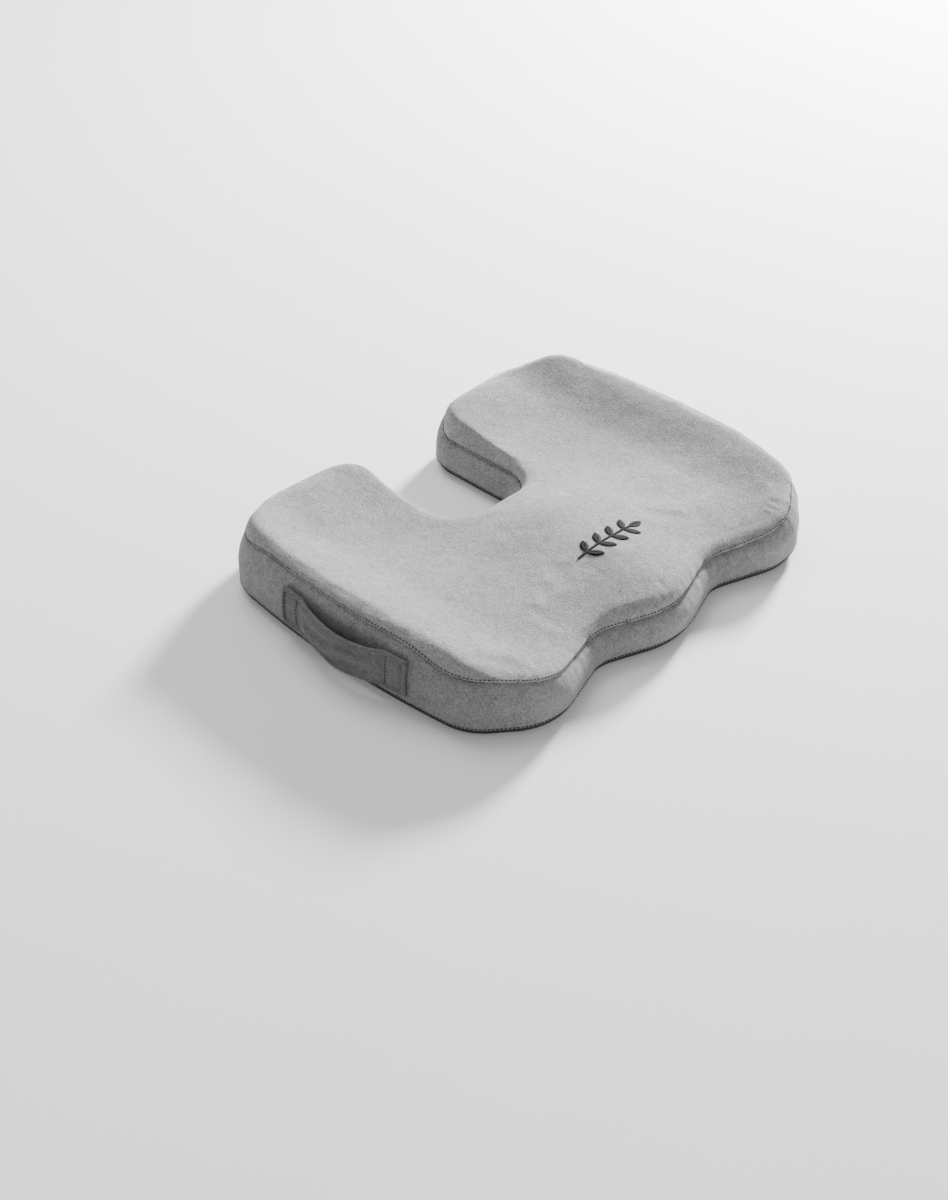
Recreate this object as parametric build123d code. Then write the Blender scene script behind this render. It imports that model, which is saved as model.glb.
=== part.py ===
# A covered memory-foam seat cushion with a U-shaped cut-out at the rear, a scalloped front,
# a sewn carrying strap on its left side wall and a zip in its right side wall.
# Millimetres. +X is the sitter's right, +Y the rear, +Z up. The origin is the middle of
# the cushion, on the surface that it rests on.
from build123d import *
from math import asin, atan2, cos, degrees, exp, radians, sin, sqrt
import os

# Plan of the cover
width = 445.0
depth = 350.0
side_radius = 900.0          # each side wall is an arc of this radius
side_shift = -5.0            # the widest line, measured from mid depth
side_end_margin = 65.0       # from the front and rear edges to the ends of the side arcs
middle_lobe_corner = 5.6     # the front outline's corners before they are rounded,
notch_corner = (73.0, 21.5)  # from the middle and from the front edge,
lobe_corner = (66.5, -6.5)   # and from the side and from the front edge
front_corner_run = 25.0      # from each side arc's front end to the front corner
front_corner_round = 52.0
lobe_round = 60.0
notch_round = 38.0
rear_corner_run = 38.0       # from each side arc's rear end to the rear corner
rear_corner_round = 50.0
rear_lobe_corner = (70.5, 1.4)
rear_lobe_round = 80.0

# U-shaped cut-out
cutout_width = 84.0
cutout_depth = 136.0
cutout_corner = 27.0         # radius at the closed end
mouth_corner = 36.0          # radius at the open end
mouth_setback = 4.0          # from the rear edge to the mouth's unrounded corners

# Heights above the resting surface
seat_height = 52.0
side_rim_rise = 16.3
side_rim_slope = 85.0        # width of the slope up to each side rim
side_rim_crest = 8.0         # from the side walls to the rims' crests
side_rim_start = -15.0       # behind the front edge
side_rim_end = 85.0
rear_rim_rise = 10.0
rear_rim_slope = 85.0
rear_rim_crest = 5.0
front_drop = 13.0
front_drop_reach = 80.0
front_drop_fade = (105.0, 190.0)  # the drop dies out between these distances from the middle
pommel_rise = 10.0
pommel_width = 72.0
pommel_rear = 30.0
hollow_drop = 9.0
hollow_place = (95.0, 50.0)  # a hollow's deepest point, from the middle of the cushion
hollow_reach = (60.0, 75.0)
top_roll = 16.0              # radius of the top edge
foot_round = 7.0             # radius of the bottom edge

# Top seam, where the top panel meets the side bands
seam_front_height = 36.0
seam_side_height = 60.5
seam_corner_height = 52.0
seam_corner_start = 105.0    # from the middle, along the front
seam_corner_end = 205.0
seam_rear_height = 53.0
seam_cutout_height = 34.0
seam_rise_start = 38.0       # behind the front edge
seam_rise_end = 99.0
seam_fall_start = 75.0       # before the rear edge
seam_fall_end = 22.0
seam_round = 60.0
seam_cutout_round = 12.0
wall_zone_reach = 13.0       # how far inside the plan a side wall's seam can lie

# Cover and foam
cover_thickness = 2.0
foam_clearance = 0.3
thread_width = 0.8
thread_proud = 0.4
bottom_seam_height = 6.0     # above the underside of the bottom panel
cutout_band_half = 112.0     # the cut-out's band ends this far from the middle

# Grip dots under the bottom panel
dot_height = 1.2
dot_radius = 5.0
dot_pitch = 62.0
dot_edge_margin = 18.0

# Care label, sewn flat to the bottom panel between the dots
label_size = (42.0, 26.0, 0.4)
label_place = (-108.0, 80.0)

# Zip in the right side wall
zip_end_margin = 4.0         # from the side arc's ends to the zip panels' ends
zip_height = 30.0            # the chain's centre line
zip_gap = 9.2                # between the two zip panels
tape_height = 10.0           # each tape, from the centre line
tape_thickness = 0.8
coil_gap = 0.3
coil_height = 2.45
coil_proud = 0.6
stop_length = 3.0
zip_stitch_offset = 7.0      # stitch line, from the centre line

# Slider and pull
slider_length = 12.0
slider_wall = 1.2
slider_corner = 1.5
slider_clearance = 0.3
flange_setback = 2.0         # from the slider's ends to its flanges' ends
bridge_width = 1.6
bridge_length = 6.0
bridge_leg = 1.4
bridge_wall = 1.0
pull_length = 24.0
pull_height = 7.0
pull_thickness = 1.2
pull_frame = 1.7
pull_corner = 2.4
pull_eye = 1.3
pull_eye_margin = 4.0        # from the pull's free end to its eye
window_clearance = 1.0
pin_radius = 0.6

# Carrying strap on the left side wall
strap_end_margin = 33.0      # from the side arc's ends to the strap's outer ends
strap_end_length = 23.0      # each sewn end
strap_end_thickness = 2.6
strap_end_height = 36.0
strap_thickness = 3.0
strap_height = 34.0
strap_middle_height = 34.5   # the sewn ends' centre, above the resting surface
strap_bulge = 8.5
strap_sag = 4.5
strap_gap = 0.35             # running gap between the strap and its sewn ends
box_stitch_inset = 4.5

# Raised embroidered sprig that lies across the front of the seat
sprig_place = (2.0, -89.0)
sprig_proud = 0.7
sprig_stem = (66.0, 1.8)
sprig_leaf = (15.0, 6.5)
sprig_leaf_angle = 52.0
sprig_leaf_overlap = 0.46    # a leaf's middle from its joint, as a share of its length
sprig_pairs = 4

half_width = width / 2
half_depth = depth / 2
side_centre_x = half_width - side_radius
front_arc_y = -half_depth + side_end_margin
rear_arc_y = half_depth - side_end_margin
block_height = 160.0         # taller than the cushion
beyond_edge = 30.0           # how far cutting shapes run past the plan


def side_point(y):
    # a point of the right side arc at this distance along the depth
    reach = sqrt(side_radius**2 - (y - side_shift) ** 2)
    return side_centre_x + reach, y


def side_angle(y):
    return degrees(asin((y - side_shift) / side_radius))


def mirrored(points):
    return [(-x, y) for x, y in reversed(points)]


def front_outline():
    # three soft lobes with two notches between them, from side arc to side arc
    x, y = side_point(front_arc_y)
    angle = radians(side_angle(front_arc_y))
    corner = (x + front_corner_run * sin(angle), y - front_corner_run * cos(angle))
    lobe = (half_width - lobe_corner[0], -half_depth + lobe_corner[1])
    notch = (notch_corner[0], -half_depth + notch_corner[1])
    middle = (0.0, -half_depth - middle_lobe_corner)
    slope = atan2(notch[1] - middle[1], notch[0])
    middle_round = middle_lobe_corner / (1.0 / cos(slope) - 1.0)
    right = [middle, notch, lobe, corner, (x, y)]
    radii = [front_corner_round, lobe_round, notch_round]
    return FilletPolyline(mirrored(right) + right[1:], radius=radii + [middle_round] + radii[::-1])


def rear_outline():
    # the two rear lobes and the U-shaped cut-out between them, from side arc to side arc
    x, y = side_point(rear_arc_y)
    angle = radians(side_angle(rear_arc_y))
    corner = (x - rear_corner_run * sin(angle), y + rear_corner_run * cos(angle))
    lobe = (half_width - rear_lobe_corner[0], half_depth + rear_lobe_corner[1])
    mouth = (cutout_width / 2, half_depth - mouth_setback)
    closed_end = (cutout_width / 2, half_depth - cutout_depth)
    right = [(x, y), corner, lobe, mouth, closed_end]
    radii = [rear_corner_round, rear_lobe_round, mouth_corner, cutout_corner]
    return FilletPolyline(right + mirrored(right), radius=radii + radii[::-1])


def plan_face():
    ends = [side_point(front_arc_y), side_point(side_shift), side_point(rear_arc_y)]
    left_ends = [(-x, y) for x, y in ends]
    return make_face([front_outline(), ThreePointArc(*ends), rear_outline(), ThreePointArc(*left_ends)])


def smooth_step(low, high, value):
    share = min(max((value - low) / (high - low), 0.0), 1.0)
    return share * share * (3.0 - 2.0 * share)


def seat_surface(x, y):
    # height of the top of the cover: raised side rims and rear, a pommel at the front
    # middle and a hollow under each thigh
    from_front = half_depth + y
    from_rear = half_depth - y
    rim_share = smooth_step(half_width - side_rim_slope, half_width - side_rim_crest, abs(x))
    side_rim = side_rim_rise * rim_share * smooth_step(side_rim_start, side_rim_end, from_front)
    rear_rim = rear_rim_rise * (1.0 - smooth_step(rear_rim_crest, rear_rim_slope, from_rear))
    front_edge = front_drop * (1.0 - smooth_step(0.0, front_drop_reach, from_front))
    front_edge *= 1.0 - smooth_step(*front_drop_fade, abs(x))
    pommel = pommel_rise * exp(-((x / pommel_width) ** 2))
    pommel *= 1.0 - smooth_step(-pommel_rear, pommel_rear, y)
    across = (abs(x) - hollow_place[0]) / hollow_reach[0]
    along = (y - hollow_place[1]) / hollow_reach[1]
    hollow = hollow_drop * exp(-(across**2) - along**2)
    return seat_height + side_rim + rear_rim - front_edge + pommel - hollow


def space_above_seat(lift=0.0):
    # everything above the seat surface, as one block
    columns, rows = 25, 21
    x_reach, y_reach = half_width + beyond_edge, half_depth + beyond_edge
    points = []
    for row in range(rows):
        y = y_reach * (2.0 * row / (rows - 1) - 1.0)
        xs = [x_reach * (2.0 * column / (columns - 1) - 1.0) for column in range(columns)]
        points.append([Vector(x, y, seat_surface(x, y) + lift) for x in xs])
    surface = Face.make_surface_from_array_of_points(points, tol=0.05, min_deg=3, max_deg=5)
    return extrude(surface, amount=block_height, dir=(0, 0, 1))


def envelope(inset):
    # the cushion's closed outer form, moved inward everywhere by inset
    plan = offset(plan_face(), amount=-inset) if inset else plan_face()
    underside = dot_height + inset
    block = extrude(plan, amount=block_height)
    body = Pos(0, 0, underside) * block - space_above_seat(-inset)
    top = body.faces().sort_by(Axis.Z)[-1]
    body = fillet(top.edges(), top_roll - inset)
    bottom = body.faces().sort_by(Axis.Z)[0]
    return fillet(bottom.edges(), foot_round - inset)


def slab(low, high, reach=600.0):
    return Pos(0, 0, (low + high) / 2) * Box(reach, reach, high - low)


def ring_sector(inner, outer, start, end, low, high):
    # a piece of the right side wall: inner and outer are measured outward from the wall's
    # face, start and end are angles about the centre of the side arc
    def on_wall(proud, angle):
        radius = side_radius + proud
        x = side_centre_x + radius * cos(radians(angle))
        return x, side_shift + radius * sin(radians(angle))

    middle = (start + end) / 2
    outline = [
        ThreePointArc(on_wall(inner, start), on_wall(inner, middle), on_wall(inner, end)),
        Line(on_wall(inner, end), on_wall(outer, end)),
        ThreePointArc(on_wall(outer, end), on_wall(outer, middle), on_wall(outer, start)),
        Line(on_wall(outer, start), on_wall(inner, start)),
    ]
    return Pos(0, 0, low) * extrude(make_face(outline), amount=high - low)


def arc_angle(length):
    # the angle of a length along the side wall
    return degrees(length / side_radius)


zip_start = side_angle(front_arc_y) + arc_angle(zip_end_margin)
zip_end = side_angle(rear_arc_y) - arc_angle(zip_end_margin)
tape_back = -cover_thickness
coil_back = tape_back + tape_thickness
coil_top = coil_gap / 2 + coil_height
slider_reach = stop_length + slider_length / 2 + slider_clearance
slider_rest = zip_end - arc_angle(slider_reach)
slider_travel = slider_rest - (zip_start + arc_angle(slider_reach))
slider_plate = coil_proud + slider_clearance
pin_proud = slider_plate + slider_wall + slider_clearance + pin_radius


def foam_core():
    return envelope(cover_thickness + foam_clearance)


def wall_zone(lift):
    # the space that holds the side walls up to the top seam, moved up by lift
    edge = half_depth + beyond_edge
    side_line = [
        (-edge, seam_front_height),
        (-half_depth + seam_rise_start, seam_front_height),
        (-half_depth + seam_rise_end, seam_side_height),
        (half_depth - seam_fall_start, seam_side_height),
        (half_depth - seam_fall_end, seam_rear_height),
        (edge, seam_rear_height),
    ]
    corner_line = [
        (seam_corner_start, seam_front_height - 1.0),
        (seam_corner_end, seam_corner_height),
        (half_width + beyond_edge, seam_corner_height),
    ]
    lip = cutout_width / 2
    lip_line = [
        (lip + 4.0, seam_cutout_height),
        (lip + mouth_corner - 4.0, seam_rear_height),
        (half_width, seam_rear_height),
    ]
    plan = plan_face()
    rim = extrude(offset(plan, amount=wall_zone_reach) - offset(plan, amount=-wall_zone_reach), block_height)
    sides = extrude(Plane.YZ * below_line(side_line, seam_round, lift), width, both=True)
    front_plane = Plane.XZ.offset(half_depth - seam_rise_end)
    corners = below_line(mirrored(corner_line) + corner_line, seam_round, lift)
    sides += extrude(front_plane * corners, depth / 2)
    cutout = below_line(mirrored(lip_line) + lip_line, seam_cutout_round, lift)
    cutout = extrude(Plane.XZ * cutout, depth, both=True)
    return rim & ((sides - cutout_box()) + (cutout & cutout_box()))


def below_line(points, radius, lift):
    line = Pos(0, lift) * FilletPolyline(points, radius=radius)
    start, end = line @ 0, line @ 1
    base = Polyline((end.X, end.Y), (end.X, -10.0), (start.X, -10.0), (start.X, start.Y))
    return make_face([line, base])


def cutout_box():
    front = half_depth - cutout_depth - mouth_corner
    from_front = (Align.CENTER, Align.MIN, Align.CENTER)
    return Pos(0, front, 0) * Box(2 * cutout_band_half, depth, 2 * block_height, align=from_front)


def cover_pieces():
    # the cover's fabric, cut along its seams, and the thread that fills the two long seams
    inside = envelope(cover_thickness)
    shell = envelope(0.0) - inside
    thread_shell = envelope(-thread_proud) - inside
    below_thread = wall_zone(-thread_width / 2)
    with_thread = wall_zone(thread_width / 2)
    bottom_seam = dot_height + bottom_seam_height
    bottom_slab = slab(bottom_seam - thread_width / 2, bottom_seam + thread_width / 2)
    below_seam = slab(-thread_width, bottom_seam - thread_width / 2)
    band = (shell & below_thread) - bottom_slab - below_seam
    zip_zone = ring_sector(-wall_zone_reach, beyond_edge, zip_start, zip_end, 0.0, block_height)
    strips = (band - zip_zone - cutout_box()).solids().sort_by(Axis.X)
    return {
        "top_panel": shell - with_thread - slab(-thread_width, bottom_seam + thread_width / 2),
        "bottom_panel": shell & below_seam,
        "main_band": strips[0],
        "rear_corner_band": strips[-1],
        "cutout_band": band & cutout_box(),
        "zip_band": band & zip_zone,
        "top_seam_thread": (thread_shell & with_thread) - below_thread,
        "bottom_seam_thread": thread_shell & bottom_slab,
    }


def grip_dots():
    # round dots in staggered rows, on the flat of the bottom panel
    field = offset(plan_face(), amount=-dot_edge_margin).faces()[0]
    row_pitch = dot_pitch * sqrt(3.0) / 2
    rows = int(half_depth / row_pitch) + 1
    columns = int(half_width / dot_pitch) + 1
    dots = []
    for row in range(-rows, rows + 1):
        for column in range(-columns, columns + 1):
            spot = Vector((column + 0.5 * (row % 2)) * dot_pitch, row * row_pitch, 0)
            if field.is_inside(spot):
                dots.append(Pos(spot.X, spot.Y, dot_height / 2) * Cylinder(dot_radius, dot_height))
    return Compound(children=dots)


def care_label():
    length, breadth, thickness = label_size
    outline = RectangleRounded(length, breadth, 2.0)
    return Pos(*label_place, dot_height - thickness) * extrude(outline, amount=thickness)


def zip_tape(side):
    # side is 1 above the centre line and -1 below it
    edges = sorted([zip_height + side * coil_gap / 2, zip_height + side * tape_height])
    return ring_sector(tape_back, coil_back, zip_start, zip_end, *edges)


def zip_coil(side):
    edges = sorted([zip_height + side * coil_gap / 2, zip_height + side * coil_top])
    stop = arc_angle(stop_length)
    return ring_sector(coil_back, coil_proud, zip_start + stop, zip_end - stop, *edges)


def zip_stop(end):
    # end is 0 at the front and 1 at the rear
    stop = arc_angle(stop_length)
    start = zip_end - stop if end else zip_start
    low, high = zip_height - coil_top, zip_height + coil_top
    return ring_sector(coil_back, coil_proud, start, start + stop, low, high)


def zip_stitches():
    rows = []
    for side in (-1, 1):
        line = zip_height + side * zip_stitch_offset
        low, high = line - thread_width / 2, line + thread_width / 2
        rows.append(ring_sector(-thread_proud, thread_proud, zip_start, zip_end, low, high))
    return Compound(children=rows)


def zip_panel(zip_band, side):
    # the fabric strip on one side of the chain, with a rebate behind it for the tape
    low, high = sorted([zip_height + side * zip_gap / 2, zip_height + side * block_height])
    return (zip_band & slab(low, high)) - zip_tape(side) - zip_stitches()


def at_slider(piece):
    # from the slider's own frame (+X out of the wall, +Y to the rear) to its resting place
    arc_centre = Location((side_centre_x, side_shift, zip_height), (0, 0, slider_rest))
    return arc_centre * Pos(side_radius, 0, 0) * piece


def zip_slider():
    # a plate over the chain with a flange down each side and a bridge for the pull
    from_wall = (Align.MIN, Align.CENTER, Align.CENTER)
    half = coil_top + slider_clearance + slider_wall
    outline = RectangleRounded(slider_length, 2 * half, slider_corner)
    slider = Pos(slider_plate, 0, 0) * extrude(Plane.YZ * outline, slider_wall)
    flange_back = coil_back + slider_clearance
    flange_reach = slider_plate + slider_wall - flange_back
    flange = Box(flange_reach, slider_length - 2 * flange_setback, slider_wall, align=from_wall)
    for side in (-1, 1):
        slider += Pos(flange_back, 0, side * (half - slider_wall / 2)) * flange
    hole = 2 * (pin_radius + slider_clearance)
    bridge = Box(hole + bridge_wall, bridge_length, bridge_width, align=from_wall)
    bridge = fillet(bridge.faces().sort_by(Axis.X)[-1].edges().filter_by(Axis.Z), bridge_wall)
    bridge -= Box(hole, bridge_length - 2 * bridge_leg, bridge_width, align=from_wall)
    return at_slider(slider + Pos(slider_plate + slider_wall, 0, 0) * bridge)


def zip_pull():
    # a flat tab with a window for the slider's bridge and a pin that turns under it
    outline = RectangleRounded(pull_length, pull_height, pull_corner)
    tab = extrude(Plane.YZ * outline, pull_thickness / 2, both=True)
    tab = Pos(0, (pull_thickness - pull_length) / 2, 0) * tab
    window_length = bridge_length + window_clearance
    window = Box(2 * pull_thickness, window_length, pull_height - 2 * pull_frame)
    tab -= Pos(0, -window_length / 2, 0) * window
    tab -= Pos(0, pull_thickness, 0) * Box(2 * pull_thickness, 2 * pull_thickness, pull_height)
    tab += Cylinder(pin_radius, pull_height)
    eye = Cylinder(pull_eye, 2 * pull_thickness, rotation=(0, 90, 0))
    tab -= Pos(0, pull_eye_margin - pull_length, 0) * eye
    return at_slider(Pos(pin_proud, 0, 0) * tab)


strap_reach = min(rear_arc_y - side_shift, side_shift - front_arc_y) - strap_end_margin
strap_half = strap_reach - strap_end_length
strap_top = strap_middle_height + strap_height / 2
strap_face_x = side_point(side_shift + strap_half)[0] + strap_gap


def strap_ends():
    # the two sewn ends and their box stitches, front first
    low = strap_middle_height - strap_end_height / 2
    high = strap_middle_height + strap_end_height / 2
    pieces = []
    for side in (-1, 1):
        start, end = sorted(side_angle(side_shift + side * reach) for reach in (strap_half, strap_reach))
        end_piece = ring_sector(0.0, strap_end_thickness, start, end, low, high)
        inset = box_stitch_inset
        turn = arc_angle(inset)
        sunk, proud = strap_end_thickness - thread_proud, strap_end_thickness + thread_proud
        stitch = ring_sector(sunk, proud, start + turn, end - turn, low + inset, high - inset)
        inset += thread_width
        turn = arc_angle(inset)
        stitch -= ring_sector(sunk, proud, start + turn, end - turn, low + inset, high - inset)
        pieces.append((mirror(end_piece - stitch, about=Plane.YZ), mirror(stitch, about=Plane.YZ)))
    return pieces


def carry_strap():
    # a slack strap that bows out of the wall and sags between its sewn ends
    half = strap_half - strap_gap
    slope = radians(side_angle(side_shift + half))
    front = (strap_face_x, side_shift - half)
    rear = (strap_face_x, side_shift + half)
    middle = (strap_face_x + strap_bulge, side_shift)
    inner = Spline(front, middle, rear, tangents=[(sin(slope), cos(slope)), (-sin(slope), cos(slope))])
    outer = Pos(strap_thickness, 0) * inner
    bowed = make_face([inner, Line(inner @ 1, outer @ 1), outer, Line(outer @ 0, inner @ 0)])
    ends = [(front[1], strap_top), (side_shift, strap_top - strap_sag), (rear[1], strap_top)]
    upper = Spline(*ends, tangents=[(1, 0), (1, 0)])
    lower = Pos(0, -strap_height) * upper
    sagging = make_face([upper, Line(upper @ 1, lower @ 1), lower, Line(lower @ 0, upper @ 0)])
    strap = extrude(bowed, block_height) & extrude(Plane.YZ * sagging, 2 * width)
    return mirror(strap, about=Plane.YZ)


def sprig_emblem():
    # a stem with pairs of leaves along it and a leaf at its tip
    stem_length, stem_width = sprig_stem
    length, breadth = sprig_leaf
    leaf = Pos(sprig_leaf_overlap * length, 0) * Ellipse(length / 2, breadth / 2)
    motif = Rectangle(stem_length, stem_width) + Pos(stem_length / 2, 0) * leaf
    spacing = stem_length / (sprig_pairs + 0.5)
    for pair in range(sprig_pairs):
        joint = Pos(spacing * (pair + 1) - stem_length / 2, 0)
        for side in (-1, 1):
            motif += joint * Rot(0, 0, side * sprig_leaf_angle) * leaf
    prism = Pos(*sprig_place, 0) * extrude(motif, amount=block_height)
    return (prism & space_above_seat()) - space_above_seat(sprig_proud)


def build_parts():
    parts = cover_pieces()
    zip_band = parts.pop("zip_band")
    parts["foam_core"] = foam_core()
    parts["grip_dots"] = grip_dots()
    parts["care_label"] = care_label()
    parts["zip_stitching"] = zip_stitches()
    for side, name in ((1, "upper"), (-1, "lower")):
        parts["zip_panel_" + name] = zip_panel(zip_band, side)
        parts["zip_tape_" + name] = zip_tape(side)
        parts["zip_coil_" + name] = zip_coil(side)
    parts["zip_stop_front"] = zip_stop(0)
    parts["zip_stop_rear"] = zip_stop(1)
    parts["zip_slider"] = zip_slider()
    parts["zip_pull"] = zip_pull()
    parts["carry_strap"] = carry_strap()
    for name, (end_piece, stitch) in zip(("front", "rear"), strap_ends()):
        parts["strap_end_" + name] = end_piece
        parts["strap_stitch_" + name] = stitch
    parts["sprig_emblem"] = sprig_emblem()
    return parts


if __name__ == "__main__":
    os.makedirs("parts", exist_ok=True)
    for name, shape in build_parts().items():
        export_step(shape, f"parts/{name}.step")
        print(f"{name}: {shape.volume:.1f} mm3, {len(shape.solids())} solids")
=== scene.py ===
import math

import bmesh
import bpy
import numpy as np
from mathutils import Matrix, Vector, noise
from mathutils.bvhtree import BVHTree
from mathutils.geometry import delaunay_2d_cdt


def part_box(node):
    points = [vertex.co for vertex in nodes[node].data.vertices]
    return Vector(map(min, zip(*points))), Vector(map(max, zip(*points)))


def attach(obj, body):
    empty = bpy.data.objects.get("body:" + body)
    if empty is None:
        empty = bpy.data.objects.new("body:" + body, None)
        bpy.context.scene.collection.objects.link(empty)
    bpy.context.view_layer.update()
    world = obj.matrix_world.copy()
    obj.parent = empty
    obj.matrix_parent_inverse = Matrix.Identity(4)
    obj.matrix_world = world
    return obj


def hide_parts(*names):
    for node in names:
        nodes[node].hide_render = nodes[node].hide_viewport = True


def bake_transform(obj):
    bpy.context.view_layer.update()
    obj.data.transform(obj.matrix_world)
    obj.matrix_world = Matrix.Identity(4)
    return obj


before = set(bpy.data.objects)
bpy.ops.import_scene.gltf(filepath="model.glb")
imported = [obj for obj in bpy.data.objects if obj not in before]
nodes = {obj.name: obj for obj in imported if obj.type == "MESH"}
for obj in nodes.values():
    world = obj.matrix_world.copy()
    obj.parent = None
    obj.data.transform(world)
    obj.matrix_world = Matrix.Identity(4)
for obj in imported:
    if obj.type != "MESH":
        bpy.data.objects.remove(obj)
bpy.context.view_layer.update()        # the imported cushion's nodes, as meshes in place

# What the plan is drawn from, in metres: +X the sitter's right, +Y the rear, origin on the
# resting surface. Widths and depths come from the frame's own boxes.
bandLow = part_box("bottom_panel")[0]
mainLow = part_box("main_band")[0]
plan = {
    "halfWidth": -mainLow.x,
    "halfDepth": -mainLow.y,
    "sideRadius": 0.900,
    "sideShift": -0.005,
    "sideEndMargin": 0.065,
    "middleLobe": 0.0056,
    "notch": (0.073, 0.0215),
    "lobe": (0.0665, -0.0065),
    "frontCornerRun": 0.025,
    "frontRadii": [0.052, 0.060, 0.038],
    "rearCornerRun": 0.038,
    "rearLobe": (0.0705, 0.0014),
    "rearRadii": [0.050, 0.080, 0.036, 0.027],
    "cutoutHalf": 0.042,
    "cutoutDepth": 0.136,
    "mouthSetback": 0.004,
    "spacing": 0.0023,
}


def sidePoint(y):
    reach = math.sqrt(plan["sideRadius"] ** 2 - (y - plan["sideShift"]) ** 2)
    return plan["halfWidth"] - plan["sideRadius"] + reach, y


def roundedPath(corners, radii, step=0.0006):
    # a run of straight lines with each corner turned by an arc, as close points
    points = [np.array(corners[0])]
    for before, corner, after, radius in zip(corners, corners[1:], corners[2:], radii):
        before, corner, after = (np.array(p) for p in (before, corner, after))
        inward = (before - corner) / np.linalg.norm(before - corner)
        onward = (after - corner) / np.linalg.norm(after - corner)
        turn = math.pi - math.acos(np.clip(inward @ onward, -1, 1))
        run = radius * math.tan(turn / 2)
        halfway = (inward + onward) / np.linalg.norm(inward + onward)
        centre = corner + halfway * math.hypot(radius, run)
        start, end = corner + inward * run, corner + onward * run
        count = max(4, int(radius * turn / step))
        for k in range(count + 1):
            chord = start + (end - start) * k / count - centre
            points.append(centre + chord / np.linalg.norm(chord) * radius)
    points.append(np.array(corners[-1]))
    return points


def pathLengths(path):
    # the distance along a path to each of its points
    return np.concatenate([[0], np.cumsum(np.linalg.norm(np.diff(path, axis=0), axis=1))])


def planOutline():
    # the whole outline as evenly spaced points, starting at the front of the right side arc
    halfWidth, halfDepth, shift = plan["halfWidth"], plan["halfDepth"], plan["sideShift"]
    frontY, rearY = -halfDepth + plan["sideEndMargin"], halfDepth - plan["sideEndMargin"]
    side = [np.array(sidePoint(y)) for y in np.linspace(frontY, rearY, 400)]
    angle = math.asin((rearY - shift) / plan["sideRadius"])
    x, y = side[-1]
    corner = (x - plan["rearCornerRun"] * math.sin(angle), y + plan["rearCornerRun"] * math.cos(angle))
    lobe = (halfWidth - plan["rearLobe"][0], halfDepth + plan["rearLobe"][1])
    mouth = (plan["cutoutHalf"], halfDepth - plan["mouthSetback"])
    closed = (plan["cutoutHalf"], halfDepth - plan["cutoutDepth"])
    right = [(x, y), corner, lobe, mouth, closed]
    left = [(-a, b) for a, b in reversed(right)]
    rear = roundedPath(right + left, plan["rearRadii"] + plan["rearRadii"][::-1])
    angle = math.asin((frontY - shift) / plan["sideRadius"])
    x, y = side[0]
    corner = (x + plan["frontCornerRun"] * math.sin(angle), y - plan["frontCornerRun"] * math.cos(angle))
    lobe = (halfWidth - plan["lobe"][0], -halfDepth + plan["lobe"][1])
    notch = (plan["notch"][0], -halfDepth + plan["notch"][1])
    middle = (0.0, -halfDepth - plan["middleLobe"])
    slope = math.atan2(notch[1] - middle[1], notch[0])
    middleRadius = plan["middleLobe"] / (1 / math.cos(slope) - 1)
    right = [middle, notch, lobe, corner, (x, y)]
    left = [(-a, b) for a, b in reversed(right[1:])]
    front = roundedPath(left + right, plan["frontRadii"] + [middleRadius] + plan["frontRadii"][::-1])
    leftSide = [np.array([-p[0], p[1]]) for p in reversed(side)]
    loop = np.array(side + rear[1:] + leftSide[1:] + front[1:])
    lengths = pathLengths(loop)
    keep = np.concatenate([[True], np.diff(lengths) > 1e-9])
    loop, lengths = loop[keep], lengths[keep]
    count = int(lengths[-1] / plan["spacing"])
    along = np.arange(count) * lengths[-1] / count
    return np.stack([np.interp(along, lengths, loop[:, i]) for i in (0, 1)], axis=1)


outline = planOutline()
tangent = np.roll(outline, -2, axis=0) - np.roll(outline, 2, axis=0)
tangent /= np.linalg.norm(tangent, axis=1)[:, None]
outward = np.stack([tangent[:, 1], -tangent[:, 0]], axis=1)
outlineCount = len(outline)
print("outline points", outlineCount)


def smoothStep(low, high, value):
    share = np.clip((value - low) / (high - low), 0.0, 1.0)
    return share * share * (3.0 - 2.0 * share)


form = {
    "seat": 0.052,
    "sideRise": 0.0163, "sideSlope": 0.085, "sideCrest": 0.008, "sideReach": (-0.015, 0.085),
    "rearRise": 0.010, "rearSlope": 0.085, "rearCrest": 0.005,
    "frontDrop": 0.013, "dropReach": 0.080, "dropFade": (0.083, 0.172),
    "pommel": 0.0105, "pommelWidth": 0.070, "pommelRear": 0.030,
    "hollow": 0.009, "hollowPlace": (0.095, 0.050), "hollowReach": (0.060, 0.075),
    "seamFront": 0.036, "seamSide": 0.0605, "seamCorner": 0.052, "seamRear": 0.053, "seamCutout": 0.034,
    "seamSideRise": (0.030, 0.105), "seamCornerRise": (0.085, 0.215), "seamCornerDepth": 0.11,
    "seamRearFall": (0.018, 0.080), "seamCutoutFall": (0.002, 0.034), "seamCutoutStart": 0.030,
    "seamInset": 0.0075, "seamInsetFrom": 0.56, "rollWidth": 0.015, "rollLeast": 0.68,
}


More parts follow.
